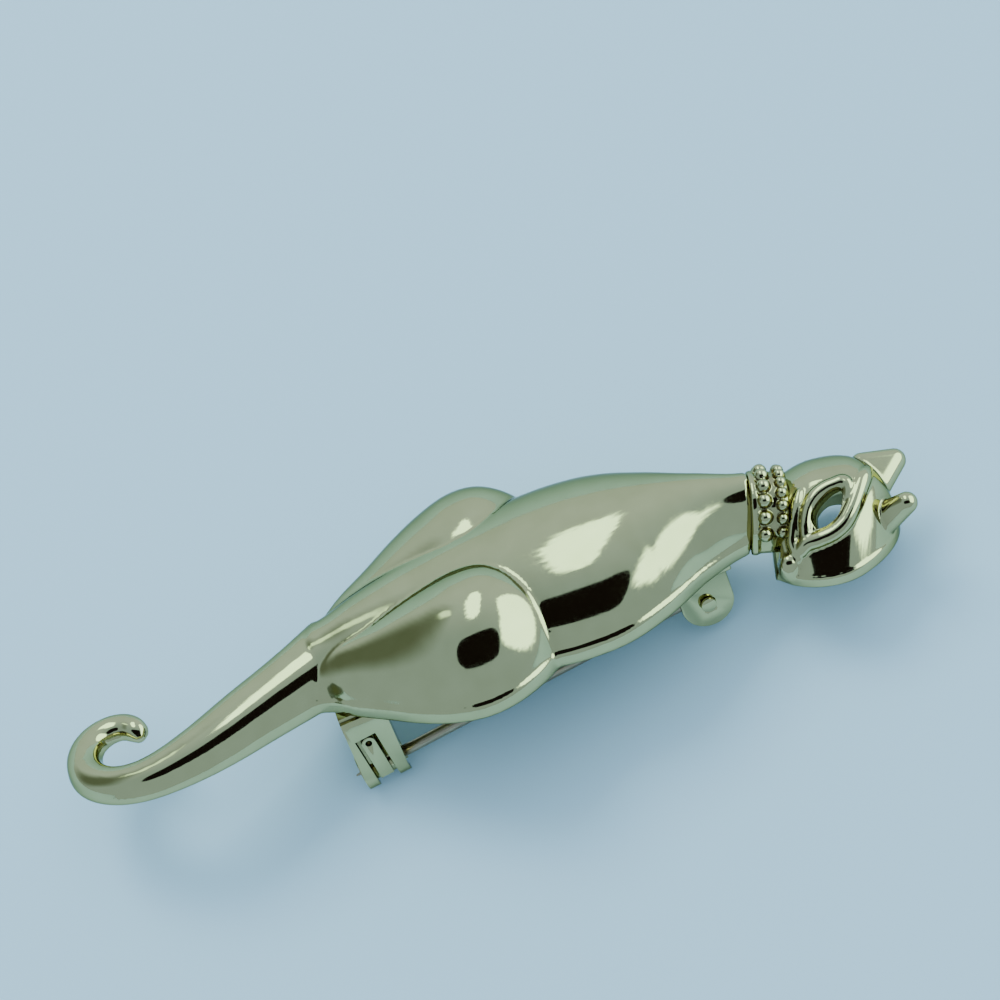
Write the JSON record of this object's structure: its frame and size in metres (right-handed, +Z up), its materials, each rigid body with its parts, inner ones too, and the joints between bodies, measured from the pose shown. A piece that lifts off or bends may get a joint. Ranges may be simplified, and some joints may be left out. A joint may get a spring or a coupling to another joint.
{
  "type": "figural cat brooch",
  "caption": "Figural brooch in the form of a stretching cat with a curled tail, beaded collar and a turned head with one cut-out eye, with a hinged pin and a turning safety catch.",
  "frame": {"origin": "centre of the brooch's footprint, on the surface it lies on", "axes": "+X from the tail towards the ears, +Z up, +Y towards the cat's far haunch, on whose side the brooch leans as it lies"},
  "size_m": [0.0638, 0.021, 0.0139],
  "materials": {
    "gold_plate": "polished pale gold plate over cast alloy",
    "pin_steel": "drawn steel wire, toned"
  },
  "bodies": {
    "brooch": {"body": "gold_plate", "collar": "gold_plate", "head": "gold_plate", "hinge_plate": "gold_plate", "hinge_rivet": "gold_plate", "catch_housing": "gold_plate"},
    "pin": {"pin_stem": "pin_steel"},
    "lever": {"catch_rotor": "gold_plate"}
  },
  "joints": [
    {"name": "pin_hinge", "type": "hinge", "parent": "brooch", "child": "pin", "pos_m": [0.01511, -0.0022, 0.00232], "axis": [0.1642, -0.8868, 0.432], "range_deg": [0, 105]},
    {"name": "catch_lever", "type": "hinge", "parent": "brooch", "child": "lever", "pos_m": [-0.01016, -0.00732, 0.00141], "axis": [0.9794, 0.1986, 0.0354], "range_deg": [0, 95]}
  ]
}
